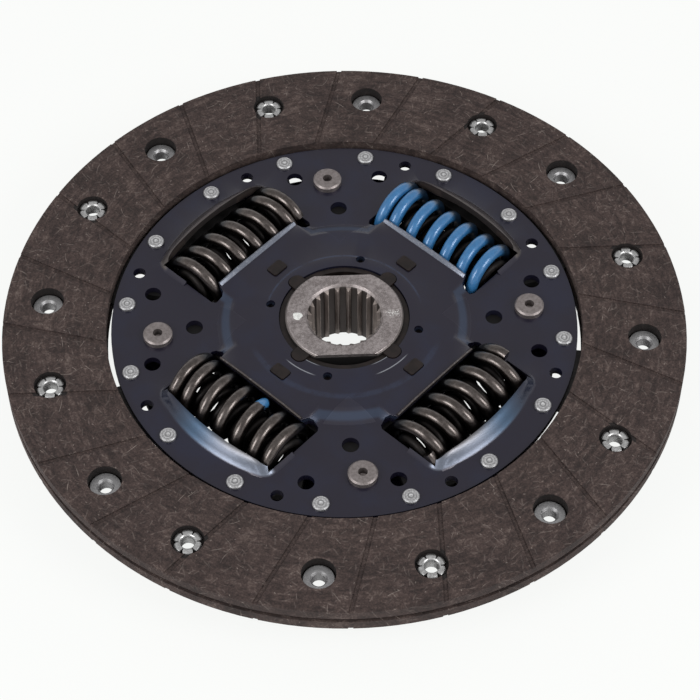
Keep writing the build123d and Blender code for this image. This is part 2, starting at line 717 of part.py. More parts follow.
def disc_spring():
    """The cone-shaped spring that loads the friction pack."""
    high = flange_rear - ASSEMBLY_GAP - WASHER_THICKNESS - THRUST_PLATE_THICKNESS
    low = 2 * FLANGE_Z - dome_back
    t = DISC_SPRING_THICKNESS
    inner = DISC_SPRING_BORE_D / 2
    outer = DISC_SPRING_D / 2
    return spun([(inner, high - t), (inner, high), (outer, low + t), (outer, low)])


def write(name, shape):
    """Write one node."""
    export_step(shape, os.path.join("parts", name + ".step"))


def main():
    os.makedirs("parts", exist_ok=True)
    write("hub", hub())
    write("front_plate", front_plate())
    write("rear_plate", rear_plate())
    write("front_facing", facing(1, FRONT_CLENCH_ANGLE, REAR_CLENCH_ANGLE))
    write("rear_facing", facing(-1, REAR_CLENCH_ANGLE, FRONT_CLENCH_ANGLE))
    segment = cushion_segment()
    for number, angle in enumerate(segment_angles, 1):
        write(f"cushion_segment_{number}", turned(segment, angle))
    outer = coil_spring(OUTER_SPRING_D, OUTER_WIRE_D, OUTER_TURNS, 1)
    inner_d = OUTER_SPRING_D - 2 * OUTER_WIRE_D - 2 * SPRING_NEST_GAP
    inner = coil_spring(inner_d, INNER_WIRE_D, INNER_TURNS, -1)
    for number, angle in enumerate(spring_angles, 1):
        spin = OUTER_SPRING_SPINS[(number - 1) % len(OUTER_SPRING_SPINS)]
        write(f"outer_spring_{number}", seated(outer, spin, angle))
        write(f"inner_spring_{number}", seated(inner, INNER_SPRING_SPIN, angle))
    pin = stop_pin()
    pins = [polar(PIN_CIRCLE_R, angle + PIN_OFFSET_ANGLE, FLANGE_Z) * pin for angle in spoke_angles]
    write("stop_pins", Compound(children=pins))
    rivet = plate_rivet()
    rivets = [polar(PLATE_RIVET_CIRCLE_R, angle, plate_face) * rivet for angle in plate_rivet_places()]
    write("plate_rivets", Compound(children=rivets))
    write("facing_rivets_front", facing_rivets(1, FRONT_CLENCH_ANGLE))
    write("facing_rivets_rear", facing_rivets(-1, REAR_CLENCH_ANGLE))
    write("front_bush", front_bush())
    write("front_friction_washer", friction_washer())
    write("rear_friction_ring", rear_friction_ring())
    write("thrust_plate", thrust_plate())
    write("disc_spring", disc_spring())


main()
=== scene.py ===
"""The looks of a dry clutch disc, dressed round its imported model.

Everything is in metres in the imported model's frame: the hub's axis is Z, the hub's rear end
stands on z = 0, and the front of the disc, with its stop pins and grooved lining, is up.
Materials work in millimetres, which their coordinates are turned into first.
"""

import logging
import math
from dataclasses import dataclass
from enum import Enum
from typing import Any, Mapping, Union

import bmesh
import bpy
from mathutils import Matrix, Vector


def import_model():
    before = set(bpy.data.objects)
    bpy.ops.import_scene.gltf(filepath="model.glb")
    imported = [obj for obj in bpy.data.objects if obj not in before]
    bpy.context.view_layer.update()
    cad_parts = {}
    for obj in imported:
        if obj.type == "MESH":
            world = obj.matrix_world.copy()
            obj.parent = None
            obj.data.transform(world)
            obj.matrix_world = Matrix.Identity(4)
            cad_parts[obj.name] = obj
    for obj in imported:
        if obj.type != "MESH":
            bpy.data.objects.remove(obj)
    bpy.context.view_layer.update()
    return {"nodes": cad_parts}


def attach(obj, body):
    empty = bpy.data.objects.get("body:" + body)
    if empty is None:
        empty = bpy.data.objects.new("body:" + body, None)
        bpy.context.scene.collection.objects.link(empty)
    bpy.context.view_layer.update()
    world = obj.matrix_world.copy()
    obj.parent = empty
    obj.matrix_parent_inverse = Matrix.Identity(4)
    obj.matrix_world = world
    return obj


LOG = logging.getLogger("clutch_disc")
MM = 0.001
Colour = tuple[float, float, float]
Place = tuple[float, float, float]
Number = Union["Field", float]
Tint = Union["Field", Colour]

# Sizes and places that more than one finish or piece needs, in millimetres unless named otherwise
GROOVE_PITCH = math.radians(15.0)
GROOVE_OFFSET = 25.4
RING_MIDDLE_Z = 18.4
RIVET_CIRCLE_R = 94.4
HEAD_FIRST_DEG = 38.15
STAR_FIRST_DEG = 13.4
FACING_RIVETS_A_SIDE = 8
FLANGE_Z = 16.25
PLATE_HALF_GAP = 4.8
SPRING_CIRCLE_R = 47.8
HUB_END_Z = 25.0


class Paint(Enum):
    """Whether a spring is painted all over, dabbed with paint or left as it is."""

    NONE = 0
    DAB = 1
    ALL = 2


@dataclass(frozen=True)
class Hairs:
    """One kind of short hair or score strewn over a surface.

    Attributes:
        spacing: The usual distance between two of them in millimetres.
        length: Their length in millimetres.
        width: Their width in millimetres.
        share: How many of the possible ones are there, from 0 to 1.
        shift: How far the pattern is shifted, so that two kinds differ.
    """

    spacing: float
    length: float
    width: float
    share: float
    shift: float


class Graph:
    """One node tree, and the single method that adds nodes to it."""

    def __init__(self, tree: bpy.types.NodeTree) -> None:
        """Empties the tree.

        Args:
            tree: The node tree of a material or a world.
        """
        self.tree = tree
        self.tree.nodes.clear()

    def add(
        self,
        kind: str,
        settings: Mapping[str, Any] | None = None,
        inputs: Mapping[Any, Any] | None = None,
    ) -> bpy.types.Node:
        """Adds a node.

        Args:
            kind: The node's type, such as ShaderNodeTexNoise.
            settings: The node's own options, such as a Math node's operation.
            inputs: Socket name or number to a value, a Field or an output socket.

        Returns:
            The new node.
        """
        node = self.tree.nodes.new(kind)
        for name, value in (settings or {}).items():
            setattr(node, name, value)
        for name, value in (inputs or {}).items():
            socket = node.inputs[name]
            if isinstance(value, Field):
                self.tree.links.new(value.socket, socket)
            elif isinstance(value, bpy.types.NodeSocket):
                self.tree.links.new(value, socket)
            elif socket.type == "RGBA" and len(value) == 3:
                socket.default_value = (*value, 1.0)
            else:
                socket.default_value = value
        return node

    def field(self, node: bpy.types.Node, output: Union[str, int] = 0) -> "Field":
        """Wraps one output of a node."""
        return Field(self, node.outputs[output])


class Field:
    """A value that varies over a surface, on which Python's arithmetic adds nodes."""

    def __init__(self, graph: Graph, socket: bpy.types.NodeSocket) -> None:
        """Wraps an output socket of the graph."""
        self.graph = graph
        self.socket = socket

    def math(self, operation: str, *values: Number) -> "Field":
        """Adds a Math node with this value first."""
        inputs = dict(enumerate([self, *values]))
        return self.graph.field(self.graph.add("ShaderNodeMath", {"operation": operation}, inputs))

    def __add__(self, other: Number) -> "Field":
        """Sum."""
        return self.math("ADD", other)

    def __radd__(self, other: Number) -> "Field":
        """Sum with a number on the left."""
        return self.math("ADD", other)

    def __sub__(self, other: Number) -> "Field":
        """Difference."""
        return self.math("SUBTRACT", other)

    def __rsub__(self, other: Number) -> "Field":
        """Difference from a number on the left."""
        return (self * -1.0) + other

    def __mul__(self, other: Number) -> "Field":
        """Product."""
        return self.math("MULTIPLY", other)

    def __rmul__(self, other: Number) -> "Field":
        """Product with a number on the left."""
        return self.math("MULTIPLY", other)

    def __truediv__(self, other: Number) -> "Field":
        """Quotient."""
        return self.math("DIVIDE", other)

    def __rtruediv__(self, other: Number) -> "Field":
        """A number on the left divided by this value."""
        return (self ** -1.0) * other

    def __pow__(self, other: Number) -> "Field":
        """Power."""
        return self.math("POWER", other)

    def __abs__(self) -> "Field":
        """Size without sign."""
        return self.math("ABSOLUTE")

    def at_most(self, other: Number) -> "Field":
        """The smaller of the two values."""
        return self.math("MINIMUM", other)

    def at_least(self, other: Number) -> "Field":
        """The larger of the two values."""
        return self.math("MAXIMUM", other)

    def fold(self, period: float) -> "Field":
        """The distance from the nearest whole multiple of the period, with its sign."""
        return self.math("WRAP", period / 2, -period / 2)

    def step(self, start: float, end: float) -> "Field":
        """Rises smoothly from 0 at start to 1 at end, or falls where end is the smaller."""
        node = self.graph.add(
            "ShaderNodeMapRange",
            {"interpolation_type": "SMOOTHSTEP"},
            {"Value": self, "From Min": start, "From Max": end, "To Min": 0.0, "To Max": 1.0},
        )
        return self.graph.field(node)

    def band(self, centre: float, half: float, soft: float) -> "Field":
        """1 within half of the centre, fading to 0 over soft."""
        return abs(self - centre).step(half + soft, half)


def vector(x: Number, y: Number, z: Number, graph: Graph) -> Field:
    """Joins three values into a vector."""
    return graph.field(graph.add("ShaderNodeCombineXYZ", {}, {"X": x, "Y": y, "Z": z}))


def mix(graph: Graph, share: Number, first: Tint, second: Tint) -> Field:
    """Mixes two colours.

    Args:
        graph: The tree to add to.
        share: How much of the second colour shows, from 0 to 1.
        first: The colour at 0.
        second: The colour at 1.

    Returns:
        The mixed colour.
    """
    node = graph.add("ShaderNodeMix", {"data_type": "RGBA"}, {0: share, 6: first, 7: second})
    return graph.field(node, 2)


class Surface:
    """A material under construction, with its place in the disc as fields in millimetres."""

    def __init__(self, name: str) -> None:
        """Starts a material of the given name."""
        self.material = bpy.data.materials.new(name)
        self.material.use_nodes = True
        self.graph = Graph(self.material.node_tree)
        coordinates = self.graph.add("ShaderNodeTexCoord")
        place = self.graph.add(
            "ShaderNodeVectorMath",
            {"operation": "SCALE"},
            {0: coordinates.outputs["Object"], "Scale": 1.0 / MM},
        )
        self.place = self.graph.field(place)
        parts = self.graph.add("ShaderNodeSeparateXYZ", {}, {0: self.place})
        self.x = self.graph.field(parts, 0)
        self.y = self.graph.field(parts, 1)
        self.z = self.graph.field(parts, 2)
        normal = self.graph.add("ShaderNodeSeparateXYZ", {}, {0: coordinates.outputs["Normal"]})
        self.tilt = self.graph.field(normal, 2)

    def radius(self) -> Field:
        """The distance from the hub's axis."""
        return (self.x * self.x + self.y * self.y).math("SQRT")

    def azimuth(self) -> Field:
        """The angle round the hub's axis, in radians."""
        return self.y.math("ARCTAN2", self.x)

    def square_radius(self) -> Field:
        """The distance from the hub's axis towards the nearest spring's middle."""
        return (abs(self.x) + abs(self.y)) * math.sqrt(0.5)

    def along_spring(self) -> Field:
        """The distance along the nearest spring from its middle, positive towards the X axis."""
        return (abs(self.x) - abs(self.y)) * math.sqrt(0.5)

    def from_ring(self, radius: float, first_deg: float, count: int) -> Field:
        """The distance from the nearest of a ring of places round the hub's axis.

        Args:
            radius: The ring's radius in millimetres.
            first_deg: The azimuth of one of the places.
            count: How many places the ring has.

        Returns:
            The distance in millimetres.
        """
        turn = (self.azimuth() - math.radians(first_deg)).fold(math.tau / count)
        across = self.radius() - radius
        return ((turn * radius) ** 2.0 + across * across).math("SQRT")

    def noise(
        self,
        size: float,
        detail: float = 3.0,
        roughness: float = 0.55,
        at: Field | None = None,
        distortion: float = 0.0,
    ) -> Field:
        """Smooth noise from about 0 to 1.

        Args:
            size: The size of its largest blotches in millimetres.
            detail: How many finer layers it has.
            roughness: How strong the finer layers are.
            at: Where it is read, or None for the place in the disc.
            distortion: How much it is swirled.

        Returns:
            The noise value.
        """
        node = self.graph.add(
            "ShaderNodeTexNoise",
            {"noise_dimensions": "3D"},
            {
                "Vector": at or self.place,
                "Scale": 1.0 / size,
                "Detail": detail,
                "Roughness": roughness,
                "Distortion": distortion,
            },
        )
        return self.graph.field(node)

    def hairs(self, kind: Hairs) -> Field:
        """Scattered short curved hairs that lie every way in the plane of the disc.

        Args:
            kind: Their spacing, size and share.

        Returns:
            1 along a hair's middle, falling to 0 at its sides and ends.
        """
        add = self.graph.add
        spread = self.z * 0.6 + kind.shift
        at = vector(self.x + spread, self.y + spread, 0.0, self.graph)
        cell = add(
            "ShaderNodeTexVoronoi",
            {"voronoi_dimensions": "2D", "feature": "F1"},
            {"Vector": at, "Scale": 1.0 / kind.spacing, "Randomness": 1.0},
        )
        dice = add("ShaderNodeSeparateColor", {}, {0: cell.outputs["Color"]})
        away = add(
            "ShaderNodeVectorMath", {"operation": "SUBTRACT"}, {0: at, 1: cell.outputs["Position"]}
        )
        turn = self.graph.field(dice, 0) * math.tau
        turned = add(
            "ShaderNodeVectorRotate",
            {"rotation_type": "Z_AXIS"},
            {"Vector": away.outputs[0], "Angle": turn},
        )
        parts = add("ShaderNodeSeparateXYZ", {}, {0: turned.outputs[0]})
        along = self.graph.field(parts, 0)
        curl = (self.graph.field(dice, 1) - 0.5) * (0.9 / kind.length)
        across = self.graph.field(parts, 1) + along * along * curl
        there = self.graph.field(dice, 2).step(1.0 - kind.share, 1.02 - kind.share)
        side = abs(across).step(kind.width / 2, kind.width / 8)
        return side * abs(along).step(kind.length / 2, kind.length / 4) * there

    def strewn(self, *kinds: Hairs) -> Field:
        """Several kinds of hairs laid over each other."""
        first, *others = [self.hairs(kind) for kind in kinds]
        for other in others:
            first = first.at_least(other)
        return first

    def finish(
        self,
        colour: Tint,
        roughness: Number,
        metallic: Number = 0.0,
        height: Field | None = None,
        height_mm: float = 0.05,
        fixed: Mapping[str, Any] | None = None,
    ) -> bpy.types.Material:
        """Ends the material with its shader.

        Args:
            colour: The base colour.
            roughness: The roughness.
            metallic: The share of metal.
            height: The relief from 0 to 1, or None for a smooth surface.
            height_mm: How high the relief is.
            fixed: Sockets that are the same all over.

        Returns:
            The finished material.
        """
        inputs: dict[str, Any] = {"Base Color": colour, "Roughness": roughness, "Metallic": metallic}
        inputs.update(fixed or {})
        if height is not None:
            bump = self.graph.add(
                "ShaderNodeBump", {}, {"Height": height, "Strength": 1.0, "Distance": height_mm * MM}
            )
            inputs["Normal"] = bump.outputs["Normal"]
        shader = self.graph.add("ShaderNodeBsdfPrincipled", {}, inputs)
        self.graph.add("ShaderNodeOutputMaterial", {}, {"Surface": shader.outputs[0]})
        return self.material


@dataclass(frozen=True)
class LiningFinish:
    """Wound friction lining: brown, fibrous and matt, with a darker line along its grooves.

    Attributes:
        base: The colour of most of it.
        dark: The colour of its dark flecks and scores.
        pale: The colour of its pale flecks.
        fibre: The colour of the fibres.
        groove: The colour of the darker line along the middle of each groove.
        shade: The colour of what light hardly reaches.
        bold: The thick fibres, which lie in patches.
        faint: The fibres that hardly show.
        lint: The tiny fibres.
        scores: The dark scores.
        hole_r: The radius in millimetres of the sunk holes, with their edges.
        ring_half: The distance of the lining's faces from the middle plane between them.
    """

    base: Colour = (0.052, 0.0335, 0.0295)
    dark: Colour = (0.016, 0.0095, 0.0085)
    pale: Colour = (0.115, 0.086, 0.075)
    fibre: Colour = (0.27, 0.225, 0.20)
    groove: Colour = (0.020, 0.014, 0.013)
    shade: Colour = (0.006, 0.005, 0.005)
    bold: tuple[Hairs, ...] = (Hairs(6.1, 5.4, 0.30, 0.34, 0.0), Hairs(4.4, 3.0, 0.26, 0.26, 31.7))
    faint: tuple[Hairs, ...] = (Hairs(3.6, 3.6, 0.60, 0.55, 63.1), Hairs(2.9, 2.6, 0.50, 0.45, 90.9))
    lint: Hairs = Hairs(2.4, 0.8, 0.40, 0.16, 154.9)
    scores: tuple[Hairs, ...] = (Hairs(5.2, 5.6, 0.34, 0.42, 127.3), Hairs(3.9, 3.4, 0.30, 0.32, 201.3))
    hole_r: float = 6.0
    ring_half: float = 4.40

    def groove_distance(self, surface: Surface) -> Field:
        """The distance in millimetres from the middle of the nearest groove."""
        radius = surface.radius().at_least(GROOVE_OFFSET + 1.0)
        lean = (GROOVE_OFFSET / radius).math("ARCSINE")
        turn = (surface.azimuth() - lean).fold(GROOVE_PITCH)
        return abs(turn * radius * lean.math("COSINE"))

    def recess(self, surface: Surface) -> Field:
        """1 on the walls of the sunk holes round the rivets, which light hardly reaches."""
        heads = surface.from_ring(RIVET_CIRCLE_R, HEAD_FIRST_DEG, FACING_RIVETS_A_SIDE)
        stars = surface.from_ring(RIVET_CIRCLE_R, STAR_FIRST_DEG, FACING_RIVETS_A_SIDE)
        sunk = abs(surface.z - RING_MIDDLE_Z).step(self.ring_half, self.ring_half - 0.3)
        return heads.at_most(stars).step(self.hole_r + 0.4, self.hole_r) * sunk

    def material(self) -> bpy.types.Material:
        """Builds the lining's material."""
        s = Surface("friction_lining")
        cloud = s.noise(11.0, 4.0, 0.6)
        mottle = s.noise(2.6, 3.0, 0.6)
        grain = s.noise(0.55, 3.0, 0.7)
        wound = vector(s.radius(), s.azimuth() * 19.0, s.z * 0.3, s.graph)
        streak = s.noise(1.3, 3.0, 0.6, wound, 0.7)
        tone = cloud * 0.34 + mottle * 0.26 + grain * 0.60 + streak * 0.40
        colour = mix(s.graph, tone.step(0.64, 0.92), self.dark, self.base)
        colour = mix(s.graph, tone.step(0.84, 1.02) * 0.9, colour, self.pale)
        patch = s.noise(7.0, 2.0).step(0.36, 0.66)
        fibres = (s.strewn(*self.bold) * patch * 0.74).at_least(s.strewn(*self.faint) * 0.18)
        fibres = fibres.at_least(s.hairs(self.lint) * 0.6)
        scores = s.strewn(*self.scores)
        fibres = fibres * (mottle.step(0.25, 0.65) * 0.7 + 0.3) * grain.step(0.22, 0.52)
        away = self.groove_distance(s)
        in_groove = (away + (mottle - 0.5) * 0.5).step(1.05, 0.45)
        core = (away + (grain - 0.5) * 0.5).step(0.45, 0.12) * cloud.step(0.35, 0.6)
        colour = mix(s.graph, scores * 0.50, colour, self.dark)
        colour = mix(s.graph, fibres * (1.0 - in_groove * 0.75), colour, self.fibre)
        colour = mix(s.graph, core * 0.25, colour, self.groove)
        colour = mix(s.graph, self.recess(s) * 0.85, colour, self.shade)
        height = tone * 0.55 + fibres * 0.35 - scores * 0.25
        fixed = {"Specular IOR Level": 0.40}
        return s.finish(colour, grain.step(0.0, 1.0) * 0.12 + 0.76, 0.0, height, 0.17, fixed)


@dataclass(frozen=True)
class CoatedPlateFinish:
    """Blue-black coated satin pressing, with wear and painted highlights on its hoods and turned-up
    edges.

    Attributes:
        base: The colour of most of it.
        blue: Its colour in the bluer clouds.
        sheen: The colour of the painted sheen on the raised centre's slope.
        hood_foot: The colour of a near hood at its foot, bare metal with a painted highlight.
        hood_blue: Its colour towards one end, where the painted highlight fades to blue.
        hood_crest: Its colour at the crest.
        far_crest: The colour of a far hood, which has no painted highlight.
        hood_inside: The colour of the hoods' inner walls.
        lip_silver: The colour of the far windows' lips, bare metal with a painted highlight.
        lip_brown: The colour of the near windows' lips, without that painted highlight.
        scratch: The colour of bare scratches, and of the painted highlight lines round the bore and the
            bead.
        ring_highlight: The colour of the painted blue highlights along two rings.
        highlight_ring_r: The radius in millimetres of the broad highlight ring.
        bead_r: The radius of the bead, along which highlight lines are painted.
        bore_r: The radius of the bore's edge, along which a highlight line is painted.
        highlight_arcs: The middle and half width, in degrees, of the arcs where the painted highlight
            lines show.
        dome_height: How high the centre is raised.
        slope_height: The height of its slope's middle.
        lip_r: The distance of the windows' lips from the hub's axis.
        window_half: Half the length of a window.
        flank_top: Where the low ends of a hood's flanks stop, from the hub's axis.
    """

    base: Colour = (0.0078, 0.0068, 0.0144)
    blue: Colour = (0.0080, 0.0098, 0.0240)
    sheen: Colour = (0.055, 0.080, 0.130)
    hood_foot: Colour = (0.205, 0.230, 0.285)
    hood_blue: Colour = (0.070, 0.115, 0.180)
    hood_crest: Colour = (0.190, 0.185, 0.190)
    far_crest: Colour = (0.110, 0.098, 0.092)
    hood_inside: Colour = (0.052, 0.040, 0.036)
    lip_silver: Colour = (0.205, 0.225, 0.275)
    lip_brown: Colour = (0.130, 0.112, 0.104)
    scratch: Colour = (0.46, 0.48, 0.52)
    ring_highlight: Colour = (0.024, 0.036, 0.070)
    highlight_ring_r: float = 30.8
    bead_r: float = 24.6
    bore_r: float = 20.75
    highlight_arcs: tuple[tuple[float, float], ...] = ((-126.5, 7.0), (-54.0, 8.0))
    dome_height: float = 2.65
    slope_height: float = 1.35
    lip_r: float = 38.4
    window_half: float = 22.6
    flank_top: float = 55.6

    @staticmethod
    def height(surface: Surface) -> Field:
        """The height above the flat of the nearer plate."""
        return abs(surface.z - FLANGE_Z) - PLATE_HALF_GAP

    @staticmethod
    def outward(surface: Surface) -> Field:
        """1 on faces that look away from the disc's middle plane, 0 on those that look into it."""
        return (surface.tilt * (surface.z - FLANGE_Z).math("SIGN")).step(-0.12, 0.08)

    def lip(self, surface: Surface) -> Field:
        """1 on the turned-up inner edges of the windows."""
        raised = self.height(surface).step(self.dome_height + 0.05, self.dome_height + 0.20)
        out = surface.square_radius()
        near_lip = out.step(self.lip_r - 1.8, self.lip_r - 1.4)
        return raised * near_lip * out.step(SPRING_CIRCLE_R - 1.8, SPRING_CIRCLE_R - 3.8)

    def hood(self, surface: Surface) -> Field:
        """1 on the flared outer edges of the windows, but not on the low ends of their flanks."""
        raised = self.height(surface).step(0.10, 0.60)
        out = surface.square_radius().step(SPRING_CIRCLE_R + 3.0, SPRING_CIRCLE_R + 4.5)
        return raised * out * (1.0 - self.low_end(surface))

    def low_end(self, surface: Surface) -> Field:
        """1 on the low ends of the hoods' flanks, beside the windows' end edges."""
        end = abs(surface.along_spring()).step(self.window_half - 1.0, self.window_half - 0.4)
        return end * surface.square_radius().step(self.flank_top + 1.8, self.flank_top)

    def painted_highlight_lines(self, surface: Surface) -> Field:
        """1 on thin painted highlight lines round the bore and the bead, on two arcs of the near side.
        """
        radius = surface.radius()
        lines = radius.band(self.bead_r, 0.05, 0.16).at_least(radius.band(self.bore_r, 0.04, 0.12))
        turn = surface.azimuth() * math.degrees(1.0)
        left, right = (turn.band(middle, half, half) for middle, half in self.highlight_arcs)
        return lines * left.at_least(right) * surface.z.step(FLANGE_Z, FLANGE_Z + 1.0)

    def rings(self, surface: Surface, smear: Field) -> Field:
        """Painted blue highlights along two rings: a broad one on the near side and one along the far
        bead.
        """
        near = surface.radius().band(self.highlight_ring_r, 0.3, 1.2) * surface.y.step(-9.0, -17.0) * 0.35
        far = surface.radius().band(self.bead_r + 0.3, 0.15, 0.35) * surface.y.step(3.0, 12.0) * 0.6
        return near.at_least(far) * smear.step(0.2, 0.6)

    def material(self) -> bpy.types.Material:
        """Builds the plates' material."""
        s = Surface("blue_black_coating")
        stipple = s.noise(0.4, 3.0, 0.7)
        cloud = s.noise(14.0, 4.0, 0.55)
        smear = s.noise(3.2, 4.0, 0.6)
        height, outward = self.height(s), self.outward(s)
        lip, hood, painted_highlight_lines = self.lip(s), self.hood(s), self.painted_highlight_lines(s)
        colour = mix(s.graph, cloud.step(0.42, 0.72) * 0.7, self.base, self.blue)
        # Painted sheen: where the raised centre's slope faces out, it is mixed towards a bluish colour
        # and made partly metallic.
        inner = s.square_radius().step(SPRING_CIRCLE_R - 1.8, SPRING_CIRCLE_R - 3.8)
        slope = height.band(self.slope_height, 0.35, 0.6) * inner * outward
        colour = mix(s.graph, slope * 0.45, colour, self.sheen)
        # Painted highlight over the hoods' wear: a near hood is light at its foot and greyer at its
        # crest, fading to blue and dark towards one end; a far hood, on the +Y side, is dull brown.
        silver = mix(s.graph, height.step(2.0, 4.4), self.hood_foot, self.hood_crest)
        along = s.along_spring()
        silver = mix(s.graph, along.step(-9.0, 5.0), silver, self.hood_blue)
        far = s.y.step(-4.0, 4.0)
        silver = mix(s.graph, far, silver, self.far_crest)
        fade = 1.0 - along.step(3.0, 17.0) * (1.0 - far) * 0.9
        rubbed_and_highlight = hood * outward * (stipple.step(0.25, 0.75) * 0.3 + 0.7) * fade
        colour = mix(s.graph, rubbed_and_highlight, colour, silver)
        colour = mix(s.graph, hood * (1.0 - outward), colour, self.hood_inside)
        # Painted highlight: the lips on the far, +Y side are coloured silvery, those on the near side
        # brown.
        lip_colour = mix(s.graph, far, self.lip_brown, self.lip_silver)
        colour = mix(s.graph, lip * 0.85, colour, lip_colour)
        drawn = s.noise(0.35, 3.0, 0.7, vector(s.x * 0.4, s.y * 0.4, s.z * 2.2, s.graph))
        # Bare scratches along the lips, and painted highlight lines round the bore and the bead.
        scratched = (lip * drawn.step(0.52, 0.68) * (far * 0.35 + 0.30)).at_least(painted_highlight_lines * 0.6)
        colour = mix(s.graph, scratched, colour, self.scratch)
        # Painted highlights along two rings, in blue.
        ring = self.rings(s, smear)
        colour = mix(s.graph, ring, colour, self.ring_highlight)
        wear_and_highlight = rubbed_and_highlight.at_least(lip * 0.85).at_least(scratched * 0.9)
        rough = smear * 0.08 + 0.19 + rubbed_and_highlight * 0.20 + lip * 0.10 + hood * (1.0 - outward) * 0.25
        rough = rough + self.low_end(s) * height.step(0.02, 0.15) * 0.45
        relief = stipple * 0.5 + smear * 0.3
        fixed = {"Specular IOR Level": 0.55, "Specular Tint": (0.94, 0.91, 1.0, 1.0)}
        return s.finish(colour, rough, wear_and_highlight.at_least(slope * 0.3), relief, 0.008, fixed)


@dataclass(frozen=True)
class SteelFinish:
    """Bare or treated steel with a fine mottle.

    Attributes:
        name: The material's name.
        light: The colour of its bright spots.
        dark: The colour of its dark spots.
        blotch: The size of the mottle in millimetres.
        rough: The mean roughness.
        metal: The share of metal.
        relief: The height of its grain in millimetres.
    """

    name: str
    light: Colour
    dark: Colour
    blotch: float = 0.8
    rough: float = 0.4
    metal: float = 0.9
    relief: float = 0.012

    def material(self) -> bpy.types.Material:
        """Builds the steel's material."""
        s = Surface(self.name)
        mottle = s.noise(self.blotch, 4.0, 0.65)
        fine = s.noise(self.blotch * 0.3, 2.0, 0.6)
        colour = mix(s.graph, (mottle * 0.7 + fine * 0.3).step(0.33, 0.67), self.dark, self.light)
        rough = mottle * 0.2 + (self.rough - 0.1)
        return s.finish(colour, rough, self.metal, mottle * 0.6 + fine * 0.4, self.relief)


@dataclass(frozen=True)
class RivetFinish:
    """Bright rivet heads with struck rings and painted shade on their rounded edges.

    Attributes:
        light: The colour of their bright spots.
        dark: The colour of their dull spots.
        ring_and_edge_shade: The colour of the struck rings, and of the painted shade on the head's
            edge.
        circle_r: The radius of the circle they stand on, in millimetres.
        first_deg: The azimuth of one of them.
        count: How many there are.
        inner_ring_r: The radius of the inner struck ring.
        outer_ring_r: The radius of the outer one.
        edge_r: The radius outside which the head rounds off, where it is painted in shade.
    """

    light: Colour = (0.70, 0.70, 0.71)
    dark: Colour = (0.40, 0.395, 0.40)
    ring_and_edge_shade: Colour = (0.20, 0.20, 0.205)
    circle_r: float = 69.27
    first_deg: float = 14.4
    count: int = 16
    inner_ring_r: float = 0.85
    outer_ring_r: float = 1.75
    edge_r: float = 2.2

    def material(self) -> bpy.types.Material:
        """Builds the rivets' material."""
        s = Surface("plate_rivet_steel")
        mottle = s.noise(0.5, 4.0, 0.65)
        away = s.from_ring(self.circle_r, self.first_deg, self.count)
        marks = away.band(self.inner_ring_r, 0.08, 0.22)
        marks = marks.at_least(away.band(self.outer_ring_r, 0.08, 0.25) * 0.6)
        # Painted shade on the head's rounded edge.
        marks = marks.at_least(away.step(self.edge_r, self.edge_r + 0.25) * 0.7)
        colour = mix(s.graph, mottle.step(0.36, 0.64), self.dark, self.light)
        colour = mix(s.graph, marks * 0.8, colour, self.ring_and_edge_shade)
        return s.finish(colour, mottle * 0.2 + 0.38, 0.9, mottle, 0.015)


